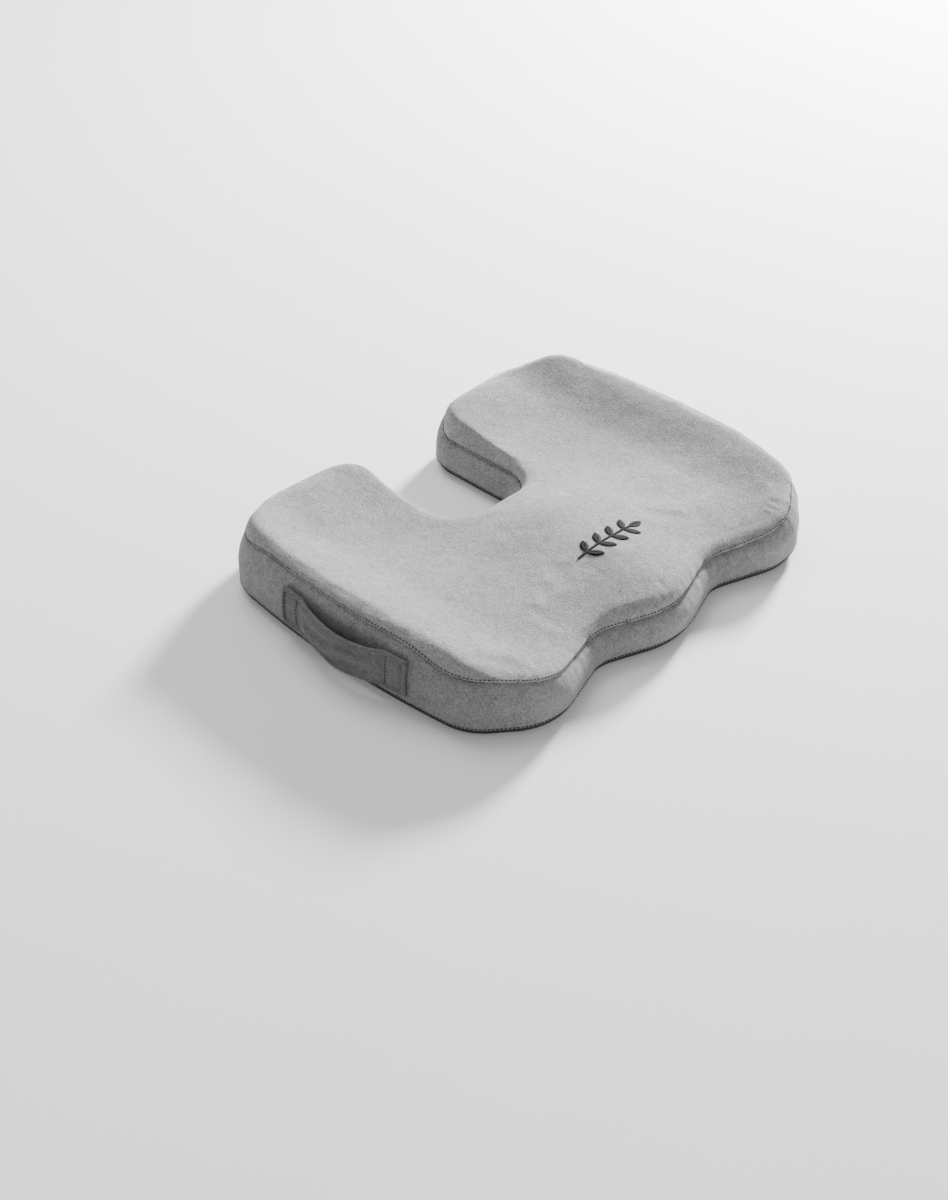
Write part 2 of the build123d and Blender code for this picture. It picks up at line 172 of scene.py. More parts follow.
def seatHeight(x, y):
    # raised rims at the sides and rear, a pommel at the front and a hollow for each thigh
    fromFront, fromRear = plan["halfDepth"] + y, plan["halfDepth"] - y
    halfWidth = plan["halfWidth"]
    slopeStart, slopeEnd = halfWidth - form["sideSlope"], halfWidth - form["sideCrest"]
    rim = form["sideRise"] * smoothStep(slopeStart, slopeEnd, np.abs(x))
    rim = rim * smoothStep(*form["sideReach"], fromFront)
    rearRim = form["rearRise"] * (1 - smoothStep(form["rearCrest"], form["rearSlope"], fromRear))
    drop = form["frontDrop"] * (1 - smoothStep(0.0, form["dropReach"], fromFront))
    drop = drop * (1 - smoothStep(*form["dropFade"], np.abs(x)))
    pommel = form["pommel"] * np.exp(-((x / form["pommelWidth"]) ** 2))
    pommel = pommel * (1 - smoothStep(-form["pommelRear"], form["pommelRear"], y))
    across = (np.abs(x) - form["hollowPlace"][0]) / form["hollowReach"][0]
    along = (y - form["hollowPlace"][1]) / form["hollowReach"][1]
    hollow = form["hollow"] * np.exp(-(across**2) - along**2)
    return form["seat"] + rim + rearRim - drop + pommel - hollow


def seamHeight(x, y):
    # low along the front, up round its corners to the sides, and down again into the cut-out
    front, fromFront, fromRear = form["seamFront"], plan["halfDepth"] + y, plan["halfDepth"] - y
    side = front + (form["seamSide"] - front) * smoothStep(*form["seamSideRise"], fromFront)
    corner = front + (form["seamCorner"] - front) * smoothStep(*form["seamCornerRise"], np.abs(x))
    height = np.where(fromFront < form["seamCornerDepth"], np.maximum(side, corner), side)
    rearFall = 1 - smoothStep(*form["seamRearFall"], fromRear)
    height = height + (form["seamRear"] - form["seamSide"]) * rearFall
    near, far = (plan["cutoutHalf"] + reach for reach in form["seamCutoutFall"])
    into = (1 - smoothStep(near, far, np.abs(x))) * smoothStep(0.0, form["seamCutoutStart"], y)
    return height + (form["seamCutout"] - height) * into


seamZ = seamHeight(outline[:, 0], outline[:, 1])
for _ in range(6):
    seamZ = (np.roll(seamZ, 2) + np.roll(seamZ, -2) + 2 * seamZ) / 4
bottomZ = bandLow.z
print("seam heights", float(seamZ.min()), float(seamZ.max()))


class Value:
    # a socket that can be used in sums, such as Value * 2 or Value + Value
    def __init__(self, maker, socket):
        self.maker = maker
        self.socket = socket

    def math(self, operation, *others):
        return self.maker.node("ShaderNodeMath", {"operation": operation}, self, *others)

    def __add__(self, other):
        return self.math("ADD", other)

    def __radd__(self, other):
        return self.math("ADD", other)

    def __mul__(self, other):
        return self.math("MULTIPLY", other)

    def __rmul__(self, other):
        return self.math("MULTIPLY", other)


class Finish:
    # one material: its nodes are added by node(), and its surface by surface()
    def __init__(self, name):
        self.material = bpy.data.materials.new(name)
        self.material.use_nodes = True
        self.tree = self.material.node_tree
        self.bsdf = self.tree.nodes["Principled BSDF"]
        self.place = Value(self, self.add("ShaderNodeTexCoord").outputs["Object"])

    def add(self, kind, settings=None):
        made = self.tree.nodes.new(kind)
        for key, value in (settings or {}).items():
            if key == "stops":
                for stop, (position, shade) in zip(made.color_ramp.elements, value):
                    stop.position, stop.color = position, (shade, shade, shade, 1)
            else:
                setattr(made, key, value)
        return made

    def feed(self, socket, value):
        if isinstance(value, Value):
            self.tree.links.new(value.socket, socket)
        elif value is not None:
            socket.default_value = value

    def node(self, kind, settings=None, *values, output=0, **named):
        made = self.add(kind, settings)
        for socket, value in zip(made.inputs, values):
            self.feed(socket, value)
        for name, value in named.items():
            self.feed(made.inputs[name], value)
        return Value(self, made.outputs[output])

    def noise(self, scale, detail=2.0, roughness=0.5, stretch=(1, 1, 1)):
        where = self.node("ShaderNodeMapping", None, Vector=self.place, Scale=stretch)
        return self.node(
            "ShaderNodeTexNoise", None, Vector=where, Scale=scale, Detail=detail, Roughness=roughness
        )

    def wave(self, direction, scale, distortion):
        settings = {"bands_direction": direction}
        return self.node(
            "ShaderNodeTexWave", settings, Vector=self.place, Scale=scale, Distortion=distortion
        )

    def ramp(self, value, low, high, dark=0.0, light=1.0):
        return self.node("ShaderNodeValToRGB", {"stops": [(low, dark), (high, light)]}, value)

    def blend(self, share, first, second):
        made = self.add("ShaderNodeMix", {"data_type": "RGBA"})
        self.feed(made.inputs["Factor"], share)
        self.feed(made.inputs[6], first)
        self.feed(made.inputs[7], second)
        return Value(self, made.outputs[2])

    def bump(self, height, strength, distance):
        made = self.add("ShaderNodeBump")
        made.inputs["Strength"].default_value = strength
        made.inputs["Distance"].default_value = distance
        self.feed(made.inputs["Height"], height)
        return Value(self, made.outputs[0])

    def surface(self, colour, roughness, normal=None, **constants):
        self.feed(self.bsdf.inputs["Base Color"], colour)
        self.feed(self.bsdf.inputs["Roughness"], roughness)
        if normal is not None:
            self.feed(self.bsdf.inputs["Normal"], normal)
        for name, value in constants.items():
            self.bsdf.inputs[name.replace("_", " ")].default_value = value
        return self.material


def grey(shade, warmth=0.0):
    return (shade * (1 + warmth), shade, shade * (1 - warmth), 1.0)


def velour(name, shade, nap=0.16, pile=1.0):
    # short brushed pile: tufts of fibre, patches where the nap lies another way
    finish = Finish(name)
    tuft = finish.noise(640, 4.0, 0.72, (1.0, 0.75, 1.0))
    fleck = finish.noise(980, 2.0, 0.6)
    patch = finish.noise(150, 4.0, 0.6, (1.0, 0.7, 1.0))
    sweep = finish.noise(19, 3.0, 0.5)
    lay = finish.ramp(tuft, 0.36, 0.64) * 0.66
    lay = lay + finish.ramp(patch, 0.34, 0.66) * 0.21 + finish.ramp(sweep, 0.3, 0.7) * 0.13
    colour = finish.blend(lay, grey(shade * (1 - nap), -0.006), grey(shade * (1 + nap), -0.006))
    pit = finish.ramp(fleck, 0.28, 0.42)
    colour = finish.blend(pit, grey(shade * (1 - nap) * 0.72, -0.006), colour)
    height = tuft * 0.6 + pit * 0.25 + patch * 0.5
    roughness = finish.ramp(lay, 0.3, 0.7, 0.98, 0.86)
    normal = finish.bump(height, 0.6 * pile, 0.0016)
    return finish.surface(
        colour, roughness, normal,
        Sheen_Weight=0.15, Sheen_Roughness=0.5, Sheen_Tint=grey(0.8), Specular_IOR_Level=0.12,
    )


def threadFinish(name, shade, sheen=0.1):
    # twisted thread: a fine slanting ply
    finish = Finish(name)
    ply = finish.wave("DIAGONAL", 900.0, 1.5)
    tone = finish.noise(400, 2.0)
    share = finish.ramp(ply * 0.6 + tone * 0.4, 0.2, 0.8)
    colour = finish.blend(share, grey(shade * 0.7), grey(shade * 1.2))
    normal = finish.bump(ply, 0.4, 0.0003)
    return finish.surface(colour, 0.72, normal, Sheen_Weight=sheen, Specular_IOR_Level=0.2)


def meshFabric(name, shade):
    # tight warp-knit backing of the bottom panel
    finish = Finish(name)
    knit = finish.wave("X", 260.0, 0.6) * finish.wave("Y", 260.0, 0.6)
    dust = finish.noise(60, 4.0, 0.6)
    share = finish.ramp(knit * 0.7 + dust * 0.3, 0.1, 0.8)
    colour = finish.blend(share, grey(shade * 0.6), grey(shade * 1.5))
    normal = finish.bump(knit, 0.6, 0.0005)
    return finish.surface(colour, 0.88, normal, Sheen_Weight=0.1, Specular_IOR_Level=0.2)


def moulded(name, shade, roughness):
    # rubber or nylon with a fine grain and faint scuffs
    finish = Finish(name)
    grain = finish.noise(1800, 3.0, 0.6)
    scuff = finish.noise(90, 4.0, 0.6)
    colour = finish.blend(finish.ramp(scuff, 0.35, 0.7), grey(shade * 0.85), grey(shade * 1.15))
    rough = finish.ramp(scuff, 0.3, 0.7, roughness - 0.08, roughness + 0.1)
    return finish.surface(colour, rough, finish.bump(grain, 0.2, 0.0002))


def paintedMetal(name, shade):
    # dark zip metal, brighter where it is worn
    finish = Finish(name)
    grain = finish.noise(700, 3.0, 0.55, (1.0, 1.0, 6.0))
    wear = finish.noise(260, 4.0, 0.6)
    colour = finish.blend(finish.ramp(wear, 0.42, 0.72), grey(shade), grey(shade * 1.5))
    rough = finish.ramp(wear, 0.35, 0.7, 0.30, 0.48)
    return finish.surface(colour, rough, finish.bump(grain, 0.12, 0.0002), Metallic=0.75)


def openFoam(name):
    # yellowish foam with open cells
    finish = Finish(name)
    cells = finish.node("ShaderNodeTexVoronoi", None, Vector=finish.place, Scale=900.0)
    tone = finish.noise(40, 4.0)
    colour = finish.blend(finish.ramp(tone, 0.3, 0.7), (0.80, 0.72, 0.50, 1), (0.88, 0.81, 0.62, 1))
    return finish.surface(colour, 0.92, finish.bump(cells, 0.5, 0.0006), Specular_IOR_Level=0.2)


finishes = {
    "velour": velour("velourTop", 0.29, 0.42),
    # the bands' velour is painted darker than the top's: painted shade that darkens the side walls
    "band": velour("shadedVelourBand", 0.24, 0.46),
    # the strap is the band's velour painted darker still: painted shade
    "strap": velour("shadedVelourStrap", 0.155, 0.36, 0.9),
    "thread": threadFinish("greyThread", 0.06),
    "boxThread": threadFinish("strapThread", 0.06),
    "emblem": threadFinish("blackEmbroidery", 0.006, 0.0),
    "knit": meshFabric("knitBacking", 0.035),
    "grip": moulded("gripRubber", 0.02, 0.55),
    "foam": openFoam("foamCells"),
    "label": threadFinish("wovenLabel", 0.62),
    "tape": threadFinish("zipTapeWeave", 0.12),
    "coil": moulded("coilNylon", 0.13, 0.42),
    "metal": paintedMetal("zipMetal", 0.16),
}
print("finishes made", len(finishes))


def makePiece(name, points, faces, finish, slot, body="cushion"):
    mesh = bpy.data.meshes.new(name)
    mesh.from_pydata([tuple(p) for p in points], [], faces)
    mesh.validate()
    mesh.materials.append(finishes[finish])
    mesh.shade_smooth()
    piece = bpy.data.objects.new(name, mesh)
    bpy.context.scene.collection.objects.link(piece)
    if body:
        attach(piece, body)
    return piece


def giveThickness(piece, thickness):
    # turns a sheet of faces into a closed cloth of this thickness, inward from its face
    solid = piece.modifiers.new("cloth", "SOLIDIFY")
    solid.thickness = thickness
    solid.offset = -1
    bpy.context.view_layer.update()
    settled = piece.evaluated_get(bpy.context.evaluated_depsgraph_get())
    made = bpy.data.meshes.new_from_object(settled)
    piece.modifiers.clear()
    piece.data = made
    made.shade_smooth()


def ringAt(inset, indexes=None):
    # points of the outline moved inward by inset, one value or one for each point
    chosen = slice(None) if indexes is None else indexes
    return outline[chosen] - outward[chosen] * np.reshape(inset, (-1, 1))


def rollWidth():
    # the rolled edge is narrower round the low front than at the high sides
    high = np.clip((seamZ - form["seamFront"]) / (form["seamSide"] - form["seamFront"]), 0, 1)
    return form["rollWidth"] * (form["rollLeast"] + (1 - form["rollLeast"]) * high)


cover = {
    "thickness": 0.0013,
    "bandRows": 18,
    "rollRows": 11,
    "shoulderRings": 4,
    "shoulderStep": 0.003,
    "fieldSpacing": 0.0042,
    "puckerDepth": 0.0010,
    "puckerReach": 0.0016,
    "gather": 0.0011,
    "gatherPitch": 130,
    "gatherReach": 0.010,
    "wallBulge": 0.008,
    "wallBulgeHeight": 0.014,
    "unevenness": 0.0006,
    "bottomSeam": 0.006,
}


def wallInset(z, indexes=slice(None)):
    # how far the wall stands in from the plan's outline at this height
    top = seamZ[indexes]
    foot = np.clip(1 - (z - bottomZ) / cover["wallBulgeHeight"], 0, 1)
    inset = cover["wallBulge"] * (1 - np.sqrt(1 - foot**2))
    share = np.clip((z - bottomZ) / (top - bottomZ), 0, 1)
    upper = np.clip((share - form["seamInsetFrom"]) / (1 - form["seamInsetFrom"]), 0, 1)
    return inset + form["seamInset"] * upper**2


def pucker(distance):
    return cover["puckerDepth"] * np.exp(-((distance / cover["puckerReach"]) ** 2))


waveStep = plan["spacing"] * cover["gatherPitch"]
seamWaves = np.array([noise.noise(Vector((k * waveStep, 5.0, 0.0))) for k in range(outlineCount)])


def gathers(distance, indexes=slice(None)):
    # little puckers that the seam pulls into the cloth beside it, fading away from it
    return cover["gather"] * seamWaves[indexes] * np.exp(-np.abs(distance) / cover["gatherReach"])


def softNoise(points, scale, seed):
    return np.array([noise.noise(Vector((x * scale, y * scale, z * scale + seed))) for x, y, z in points])


def stitchRow(rings, closed):
    # faces between each ring and the next
    faces = []
    count = len(rings[0])
    last = count if closed else count - 1
    for row in range(len(rings) - 1):
        for k in range(last):
            after = (k + 1) % count
            low, high = row * count, (row + 1) * count
            faces.append((low + k, low + after, high + after, high + k))
    return faces


def field(ring, height, spacing):
    # fills a ring with even points and triangles; height gives z for each point
    low, high = ring.min(axis=0), ring.max(axis=0)
    xs = np.arange(low[0], high[0], spacing)
    ys = np.arange(low[1], high[1], spacing * 0.866)
    spots = np.array([(x + (row % 2) * spacing / 2, y) for row, y in enumerate(ys) for x in xs])
    nearest = np.full(len(spots), 9.0)
    for point in ring[::2]:
        nearest = np.minimum(nearest, np.hypot(*(spots - point).T))
    spots = spots[nearest > spacing * 0.7]
    start = [Vector(p) for p in ring] + [Vector(p) for p in spots]
    edges = [(k, (k + 1) % len(ring)) for k in range(len(ring))]
    points, _, faces, *_ = delaunay_2d_cdt(start, edges, [], 1, 1e-7)
    flat = np.array([tuple(p) for p in points])
    return np.column_stack([flat, height(flat[:, 0], flat[:, 1])]), [tuple(f) for f in faces]


def joinRings(rings, capPoints, capFaces, flip=False):
    # rings of the same length, the last of which is also the first part of the cap
    points = np.concatenate(rings[:-1] + [capPoints])
    faces = stitchRow(rings, True)
    base = sum(len(r) for r in rings[:-1])
    faces += [tuple(base + k for k in f) for f in capFaces]
    if flip:
        faces = [tuple(reversed(f)) for f in faces]
    return points, faces


def upwards(points, faces, sign=1):
    # makes every face of a cap look up (or down)
    turned = []
    for face in faces:
        a, b, c = (points[k][:2] for k in face[:3])
        area = (b[0] - a[0]) * (c[1] - a[1]) - (b[1] - a[1]) * (c[0] - a[0])
        turned.append(face if area * sign > 0 else tuple(reversed(face)))
    return turned


def topRings(extra=0.0):
    # rings of the top panel from its seam inward, over the rolled edge; extra sinks them
    rings = []
    base = wallInset(seamZ)
    roll = rollWidth()
    for row in range(cover["rollRows"] + 1):
        turn = (row / cover["rollRows"]) * math.pi / 2
        inset = base + extra + roll * (1 - math.cos(turn))
        flat = ringAt(inset)
        z = seamZ + (seatHeight(flat[:, 0], flat[:, 1]) - extra - seamZ) * math.sin(turn)
        distance = np.hypot(inset - base - extra, z - seamZ)
        flat = ringAt(inset + (pucker(distance) + gathers(distance)) * (extra == 0))
        rings.append(np.column_stack([flat, z]))
    for ring in range(1, cover["shoulderRings"] + 1):
        flat = ringAt(base + extra + roll + ring * cover["shoulderStep"])
        rings.append(np.column_stack([flat, seatHeight(flat[:, 0], flat[:, 1]) - extra]))
    return rings


stuffing = {
    "frames": 20, "pressure": 1.8, "mass": 0.25, "stiffness": 14.0, "shear": 5.0, "bending": 0.6,
    "spare": -0.001, "limit": 0.0008,
}


def stuff(piece, pinned):
    # fills the cloth and lets it settle, held along its seam; no point moves past the limit
    scene = bpy.context.scene
    rest = np.array([v.co for v in piece.data.vertices])
    piece.vertex_groups.new(name="seam").add([int(k) for k in pinned], 1.0, "REPLACE")
    cloth = piece.modifiers.new("stuffing", "CLOTH")
    settings = cloth.settings
    settings.quality = 5
    settings.mass = stuffing["mass"]
    settings.vertex_group_mass = "seam"
    settings.tension_stiffness = settings.compression_stiffness = stuffing["stiffness"]
    settings.shear_stiffness = stuffing["shear"]
    settings.bending_stiffness = stuffing["bending"]
    settings.shrink_min = stuffing["spare"]
    settings.use_pressure = True
    settings.uniform_pressure_force = stuffing["pressure"]
    settings.effector_weights.gravity = 0
    cloth.point_cache.frame_start = 1
    cloth.point_cache.frame_end = stuffing["frames"]
    for frameNumber in range(1, stuffing["frames"] + 1):
        scene.frame_set(frameNumber)
    settled = piece.evaluated_get(bpy.context.evaluated_depsgraph_get()).to_mesh()
    moved = np.array([v.co for v in settled.vertices]) - rest
    reach = np.linalg.norm(moved, axis=1)[:, None]
    print(piece.name, "settled, furthest move", round(float(reach.max()), 4))
    moved *= np.minimum(1.0, stuffing["limit"] / np.maximum(reach, 1e-9))
    piece.modifiers.clear()
    piece.vertex_groups.clear()
    piece.data.vertices.foreach_set("co", (rest + moved).ravel())
    piece.data.update()
    scene.frame_set(1)


def makeTopPanel():
    # the settled top; returns its surface for the embroidery to lie on
    rings = topRings()
    capPoints, capFaces = field(rings[-1][:, :2], seatHeight, cover["fieldSpacing"])
    points, faces = joinRings(rings, capPoints, upwards(capPoints, capFaces))
    lift = softNoise(points, 22, 3.1) * 0.0011 + softNoise(points, 60, 8.7) * 0.0004
    points[:, 2] += lift * smoothStep(0.0, 0.02, points[:, 2] - 0.034)
    piece = makePiece("topPanel", points, faces, "velour", "velour")
    stuff(piece, range(2 * outlineCount))
    giveThickness(piece, cover["thickness"])
    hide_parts("top_panel")
    corners = [v.co for v in piece.data.vertices]
    return BVHTree.FromPolygons(corners, [f.vertices for f in piece.data.polygons])


def bandIndexes(low, high):
    # outline points from index low up to high, going round past the start if need be
    span = (high - low) % outlineCount
    return [(low + k) % outlineCount for k in range(span + 1)]


def nearestIndex(x, y):
    return int(np.argmin(np.hypot(outline[:, 0] - x, outline[:, 1] - y)))


def wallSheet(indexes, lowZ, highZ, rows, seed, edges=(True, True)):
    # a strip of wall between two heights, each one value or one for each point
    indexes = np.array(indexes)
    lowZ = np.broadcast_to(lowZ, len(indexes))
    highZ = np.broadcast_to(highZ, len(indexes))
    rings = []
    for row in range(rows + 1):
        share = 0.5 - 0.5 * math.cos(math.pi * row / rows)
        z = lowZ + (highZ - lowZ) * share
        inset = wallInset(z, indexes) + pucker(z - lowZ) * edges[0] + pucker(highZ - z) * edges[1]
        inset = inset + gathers(highZ - z, indexes) * edges[1]
        flat = ringAt(inset, indexes)
        ring = np.column_stack([flat, z])
        wave = softNoise(ring, 34, seed) * cover["unevenness"]
        wave = (wave + softNoise(ring, 95, seed + 4) * 0.0003) * math.sin(math.pi * share)
        ring[:, :2] += outward[indexes] * wave[:, None]
        rings.append(ring)
    points = np.concatenate(rings)
    return points, stitchRow(rings, False)


def makeBand(name, node, indexes, lowZ, highZ, seed, edges=(True, True)):
    points, faces = wallSheet(indexes, lowZ, highZ, cover["bandRows"], seed, edges)
    piece = makePiece(name, points, faces, "band", "band_velour")
    giveThickness(piece, cover["thickness"])
    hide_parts(node)


def makeBands():
    bandLowZ = bottomZ + cover["bottomSeam"]
    zipLow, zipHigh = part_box("zip_panel_lower")
    cutLow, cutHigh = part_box("cutout_band")
    zipFront = nearestIndex(zipHigh.x, zipLow.y)
    zipRear = nearestIndex(zipHigh.x, zipHigh.y)
    cutRight = nearestIndex(cutHigh.x, plan["halfDepth"])
    cutLeft = nearestIndex(cutLow.x, plan["halfDepth"])
    strips = {
        "mainBand": ("main_band", bandIndexes(cutLeft, zipFront)),
        "rearCornerBand": ("rear_corner_band", bandIndexes(zipRear, cutRight)),
        "cutoutBand": ("cutout_band", bandIndexes(cutRight, cutLeft)),
    }
    for seed, (name, (node, indexes)) in enumerate(strips.items()):
        makeBand(name, node, indexes, bandLowZ, seamZ[indexes], seed * 7.3)
    indexes = bandIndexes(zipFront, zipRear)
    makeBand("zipPanelLower", "zip_panel_lower", indexes, bandLowZ, zipHigh.z, 31.0, (True, False))
    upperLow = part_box("zip_panel_upper")[0].z
    makeBand("zipPanelUpper", "zip_panel_upper", indexes, upperLow, seamZ[indexes], 37.0, (False, True))


def makeBottomPanel():
    # wraps up the foot of the walls to the bottom seam
    top = bottomZ + cover["bottomSeam"]
    rings = []
    for row in range(8):
        z = top - (top - bottomZ) * math.sin(row / 7 * math.pi / 2)
        inset = wallInset(np.full(outlineCount, z)) + pucker(top - z)
        rings.append(np.column_stack([ringAt(inset), np.full(outlineCount, z)]))
    for step in (0.002, 0.006, 0.012):
        inset = cover["wallBulge"] + step
        rings.append(np.column_stack([ringAt(inset), np.full(outlineCount, bottomZ)]))
    capPoints, capFaces = field(rings[-1][:, :2], lambda x, y: np.full(len(x), bottomZ), 0.012)
    points, faces = joinRings(rings, capPoints, upwards(capPoints, capFaces), flip=True)
    piece = makePiece("bottomPanel", points, faces, "knit", "non_slip_fabric")
    giveThickness(piece, cover["thickness"])
    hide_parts("bottom_panel")


def makeFoamCore():
    # closed foam form, a little inside the cover all round
    gap = cover["thickness"] + 0.0005
    rings = []
    for row in range(9):
        z = (bottomZ + gap) + (seamZ - bottomZ - gap) * row / 8
        rings.append(np.column_stack([ringAt(wallInset(z) + gap + cover["puckerDepth"]), z]))
    sunk = gap + cover["puckerDepth"]
    rings += topRings(sunk)[1:]
    capPoints, capFaces = field(rings[-1][:, :2], lambda x, y: seatHeight(x, y) - sunk, 0.007)
    points, faces = joinRings(rings, capPoints, upwards(capPoints, capFaces))
    under, underFaces = field(rings[0][:, :2], lambda x, y: np.full(len(x), bottomZ + gap), 0.016)
    ringSize = len(rings[0])
    base = len(points) - ringSize
    underFaces = upwards(under, underFaces, -1)
    faces += [tuple(k if k < ringSize else base + k for k in f) for f in underFaces]
    points = np.concatenate([points, under[ringSize:]])
    piece = makePiece("foamCore", points, faces, "foam", "foam")
    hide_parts("foam_core")


topSurface = makeTopPanel()
makeBands()
makeBottomPanel()
makeFoamCore()
print("cover and foam made")


def tube(path, radii, sides=8, flatten=1.0, lift=(0, 0, 1)):
    # a closed round rod along the path; lift is the direction that flatten thins
    path = np.asarray(path, float)
    radii = np.broadcast_to(radii, len(path))
    ahead = np.gradient(path, axis=0)
    ahead /= np.linalg.norm(ahead, axis=1)[:, None]
    lifts = np.broadcast_to(np.asarray(lift, float), path.shape)
    across = np.cross(ahead, lifts)
    across /= np.linalg.norm(across, axis=1)[:, None]
    over = np.cross(across, ahead)
    rings = []
    for k in range(sides):
        turn = 2 * math.pi * k / sides
        rings.append(path + (across * math.cos(turn) + over * math.sin(turn) * flatten) * radii[:, None])
    points = np.stack(rings, axis=1).reshape(-1, 3)
    faces = []
    for row in range(len(path) - 1):
        for k in range(sides):
            a, b = row * sides + k, row * sides + (k + 1) % sides
            faces.append((a, a + sides, b + sides, b))
    last = (len(path) - 1) * sides
    faces.append(tuple(range(sides)))
    faces.append(tuple(last + k for k in reversed(range(sides))))
    return points, faces


def gather(parts):
    # many small meshes as one
    points, faces, base = [], [], 0
    for some, theirs in parts:
        points.append(some)
        faces += [tuple(base + k for k in face) for face in theirs]
        base += len(some)
    return np.concatenate(points), faces


def walkAlong(path, lengths, start, length, count):
    # even points on a stretch of a path, by distance along it
    along = np.linspace(start, start + length, count)
    return np.stack([np.interp(along, lengths, path[:, i]) for i in range(3)], axis=1)


def stitches(path, normals):
    # short thread dashes along a path, each dipping into the cloth at both ends
    stitch, gap, radius = seam["stitch"], seam["gap"], seam["radius"]
    parts = []
    lengths = pathLengths(path)
    place = gap / 2
    while place + stitch < lengths[-1]:
        dash = walkAlong(path, lengths, place, stitch, 5)
        middle = (place + stitch / 2) / lengths[-1]
        normal = normals[min(int(middle * len(normals)), len(normals) - 1)]
        dash = dash + np.outer([-1.2, 0.1, 0.4, 0.1, -1.2], normal) * radius
        parts.append(tube(dash, radius * np.array([0.7, 1, 1, 1, 0.7]), 6, 0.8, normal))
        place += stitch + gap
    return gather(parts)


seam = {
    "radius": 0.0005, "stitch": 0.0022, "gap": 0.0012, "cord": 0.0005, "sink": 0.0008,
    "inset": 1.1, "above": 0.0026, "aboveShare": 0.6, "proud": 0.0003, "lowAbove": 0.0030,
}


def makeSeams():
    # at each seam a cord in the groove and a row of stitches above it
    groove = cover["puckerDepth"] * seam["inset"]
    flat = ringAt(wallInset(seamZ) + groove)
    path = np.column_stack([flat, seamZ])
    closedPath = np.concatenate([path, path[:2]])
    sunk = np.column_stack([np.concatenate([outward, outward[:2]]) * seam["sink"], np.zeros(len(closedPath))])
    cord = tube(closedPath - sunk, seam["cord"], 6)
    slope = np.column_stack([outward, np.full(outlineCount, 0.6)])
    slope /= np.linalg.norm(slope, axis=1)[:, None]
    rise = seatHeight(path[:, 0], path[:, 1]) - seamZ
    above = seamZ + np.minimum(seam["above"], rise * seam["aboveShare"])
    turn = np.arcsin(np.clip((above - seamZ) / rise, 0, 1))
    over = wallInset(seamZ) + rollWidth() * (1 - np.cos(turn))
    line = np.column_stack([ringAt(over), above]) + slope * seam["proud"]
    row = stitches(np.concatenate([line, line[:1]]), slope)
    piece = makePiece("topSeamStitches", *gather([cord, row]), "thread", "thread")
    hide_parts("top_seam_thread")

    z = bottomZ + cover["bottomSeam"]
    low = np.full(outlineCount, z)
    path = np.column_stack([ringAt(wallInset(low) + groove), low])
    cord = tube(np.concatenate([path, path[:2]]), seam["cord"], 6)
    raised = low + seam["lowAbove"]
    slope = np.column_stack([outward, np.full(outlineCount, -0.3)])
    line = np.column_stack([ringAt(wallInset(raised)), raised]) + slope * seam["proud"]
    row = stitches(np.concatenate([line, line[:1]]), slope)
    piece = makePiece("bottomSeamStitches", *gather([cord, row]), "thread", "thread")
    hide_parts("bottom_seam_thread")


def arcPoint(y, proud, z):
    # a point on the right side wall, proud of it by this much
    x = sidePoint(y)[0]
    centre = plan["halfWidth"] - plan["sideRadius"]
    away = np.array([x - centre, y - plan["sideShift"]]) / plan["sideRadius"]
    return np.array([x + away[0] * proud, y + away[1] * proud, z])


def arcWay(y):
    # straight out of the right side wall
    x = sidePoint(y)[0] - plan["halfWidth"] + plan["sideRadius"]
    return np.array([x, y - plan["sideShift"], 0.0]) / plan["sideRadius"]


chain = {
    "pitch": 0.0015, "reach": 0.0023, "overlap": 0.0006, "radius": 0.00052, "depth": -0.0002,
    "coreRadius": 0.00022, "coreHeights": (0.0011, 0.0021), "stitchFrom": 0.0068,
    "sides": {
        "zipTeethLower": ("zip_coil_lower", -1, 0.0),
        "zipTeethUpper": ("zip_coil_upper", 1, 0.5),
    },
}


def makeZip():
    # two meshed rows of nylon turns, half a pitch apart, and the stitches that hold the tapes
    lower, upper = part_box("zip_coil_lower"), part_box("zip_coil_upper")
    middle = (lower[0].z + upper[1].z) / 2
    low, high = lower[0].y, lower[1].y
    for name, (node, side, offset) in chain["sides"].items():
        parts = []
        count = int((high - low) / chain["pitch"])
        for k in range(count):
            y = low + (k + offset + 0.25) * chain["pitch"]
            root = arcPoint(y, chain["depth"] - 0.0003, middle + side * chain["reach"])
            crest = arcPoint(y, chain["depth"] + 0.0002, middle + side * chain["reach"] * 0.4)
            tip = arcPoint(y, chain["depth"], middle - side * chain["overlap"])
            bead = np.array([root, (root + crest) / 2, crest, (crest + tip) / 2, tip])
            radii = chain["radius"] * np.array([0.8, 1, 1, 1.15, 0.7])
            parts.append(tube(bead, radii, 8, 1.0, arcWay(y)))
        for z in chain["coreHeights"]:
            places = np.linspace(low, high, 90)
            edge = [arcPoint(y, chain["depth"] - 0.0001, middle + side * z) for y in places]
            parts.append(tube(edge, chain["coreRadius"], 6))
        piece = makePiece(name, *gather(parts), "coil", "zip_plastic")
        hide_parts(node)
    low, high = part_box("zip_stitching")[0].y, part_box("zip_stitching")[1].y
    rows = []
    ys = np.linspace(low, high, 200)
    ways = np.array([arcWay(y) for y in ys])
    for side in (-1, 1):
        height = middle + side * chain["stitchFrom"]
        rows.append(stitches(np.array([arcPoint(y, seam["proud"], height) for y in ys]), ways))
    piece = makePiece("zipTapeStitches", *gather(rows), "thread", "thread")
    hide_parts("zip_stitching")


grip = {
    "pitch": 0.0112, "radius": 0.0021, "margin": 0.017, "labelMargin": 0.003, "rings": 3, "sides": 12,
    "turn": math.pi / 2 * 0.86, "sunk": 0.0002,
}


